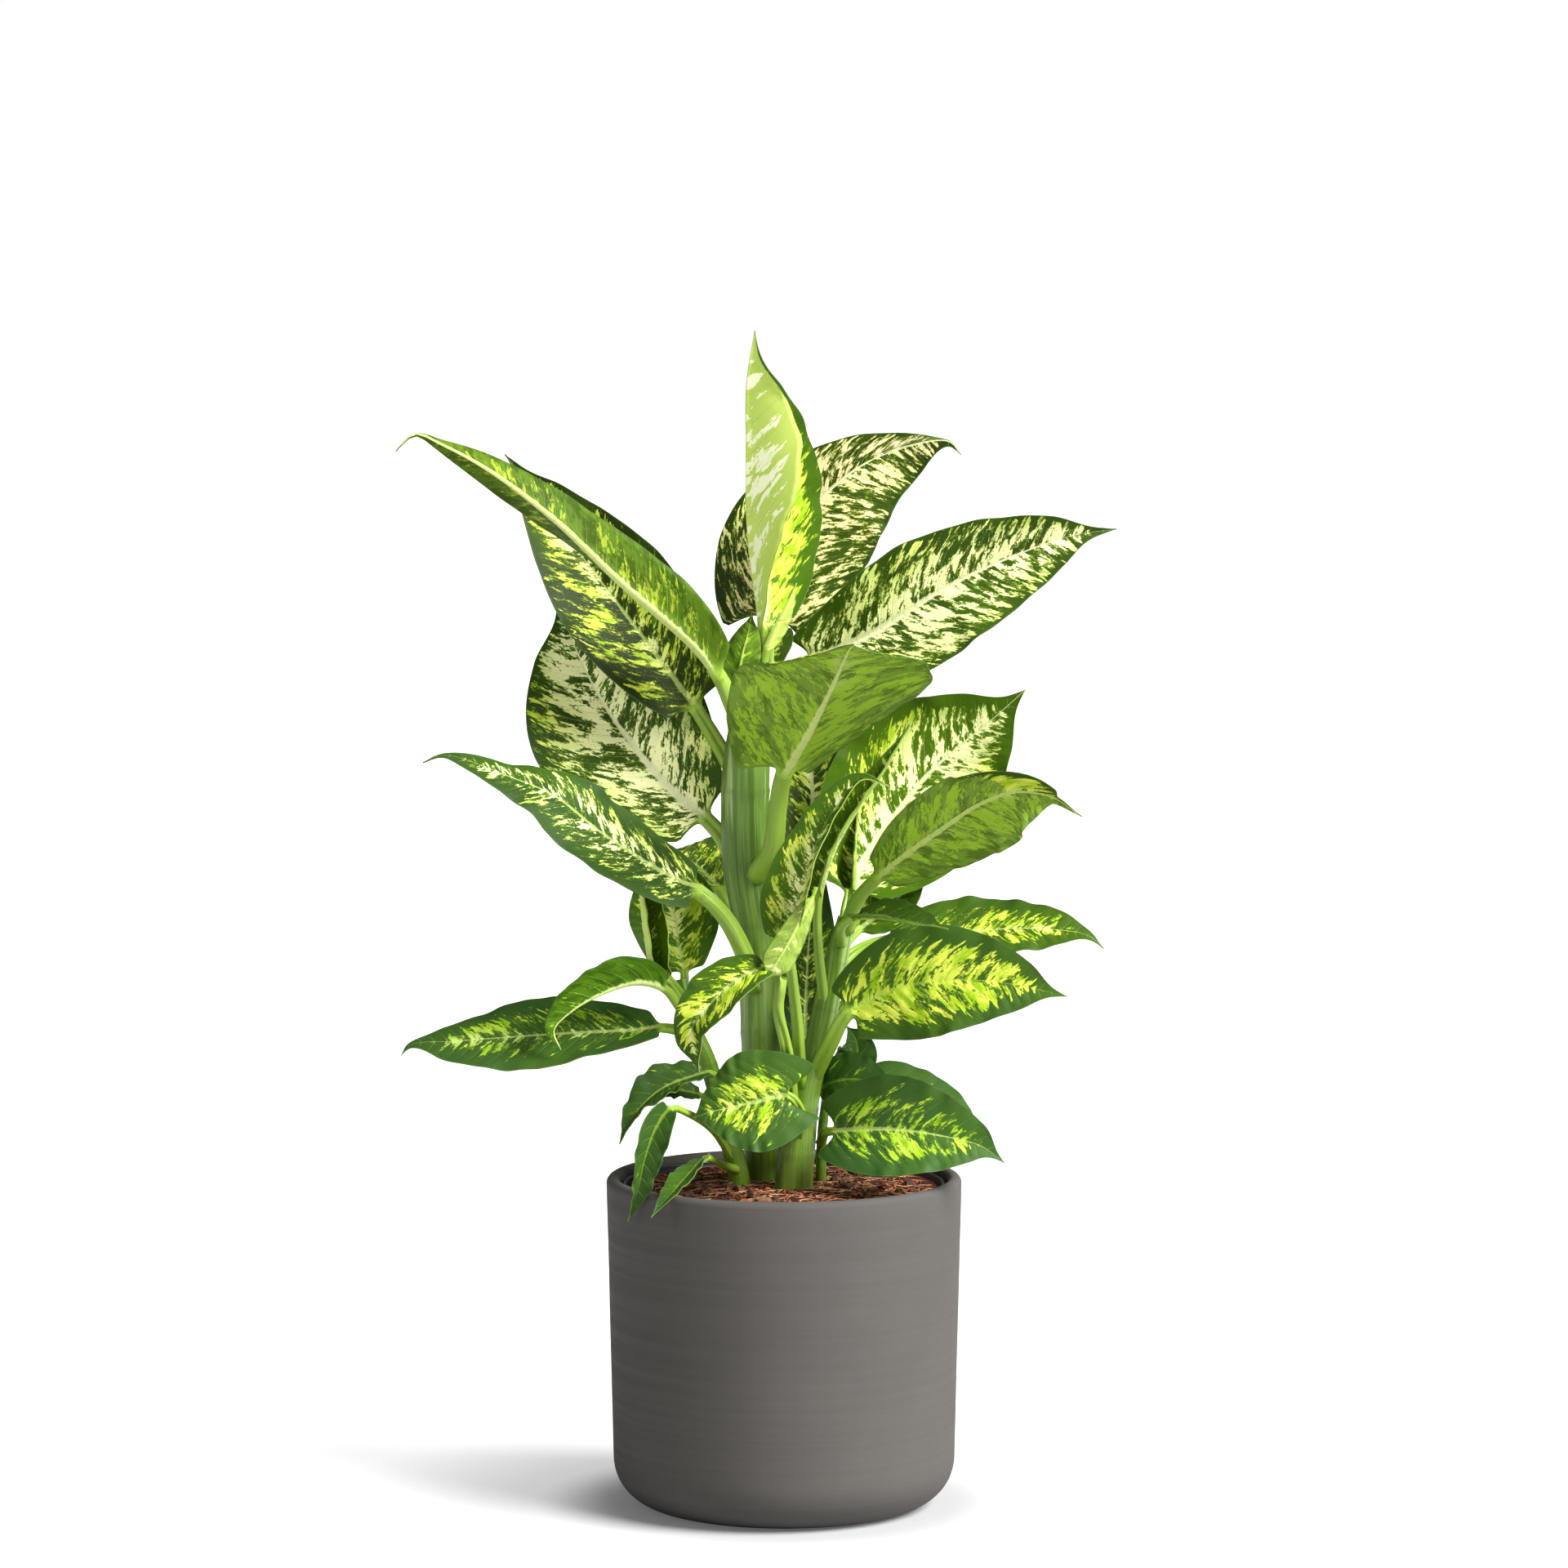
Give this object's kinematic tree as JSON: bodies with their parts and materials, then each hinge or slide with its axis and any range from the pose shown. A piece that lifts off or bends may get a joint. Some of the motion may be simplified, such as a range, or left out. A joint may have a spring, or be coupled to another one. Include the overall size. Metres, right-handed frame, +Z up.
{
  "type": "potted dieffenbachia",
  "caption": "Bushy variegated dumb cane with arching flecked leaves on thick green stems, growing in soil in a plain straight-sided grey planter with a rounded foot.",
  "frame": {"origin": "centre of the planter's flat base", "axes": "+Z up along the planter's axis, -Y towards the side that is seen first, +X to the right of that side"},
  "size_m": [0.5007, 0.4195, 0.8251],
  "materials": {
    "planter": "matte",
    "liner": "satin",
    "soil": "matte",
    "stem": "satin",
    "leaf": "satin"
  },
  "bodies": {
    "root": {"planter": "planter", "nursery_pot": "liner", "soil": "soil", "stem_main": "stem", "stem_left": "stem", "stem_right": "stem", "stem_side": "stem", "leaf_new": "leaf", "leaf_west_high": "leaf", "leaf_west_back": "leaf", "leaf_east_back": "leaf", "leaf_east_high": "leaf", "leaf_front": "leaf", "leaf_west_broad": "leaf", "leaf_west_low": "leaf", "leaf_left_rolled": "leaf", "leaf_left_behind": "leaf", "leaf_left_arching": "leaf", "leaf_left_long": "leaf", "leaf_centre_folded": "leaf", "leaf_spear": "leaf", "leaf_centre_drooping": "leaf", "leaf_right_back": "leaf", "leaf_right_under": "leaf", "leaf_right_rolled": "leaf", "leaf_right_far": "leaf", "leaf_right_bright": "leaf", "leaf_right_small": "leaf", "leaf_right_inner": "leaf", "leaf_right_creased": "leaf", "leaf_low_heart": "leaf", "leaf_low_right": "leaf", "leaf_low_right_back": "leaf", "leaf_low_small": "leaf", "leaf_low_upright": "leaf", "leaf_rim_drooping": "leaf", "leaf_rim_twisted": "leaf", "leaf_rim_small": "leaf", "leaf_rim_front": "leaf", "leaf_far_high": "leaf", "leaf_far_left": "leaf", "leaf_far_right": "leaf", "leaf_far_low": "leaf"}
  },
  "joints": []
}
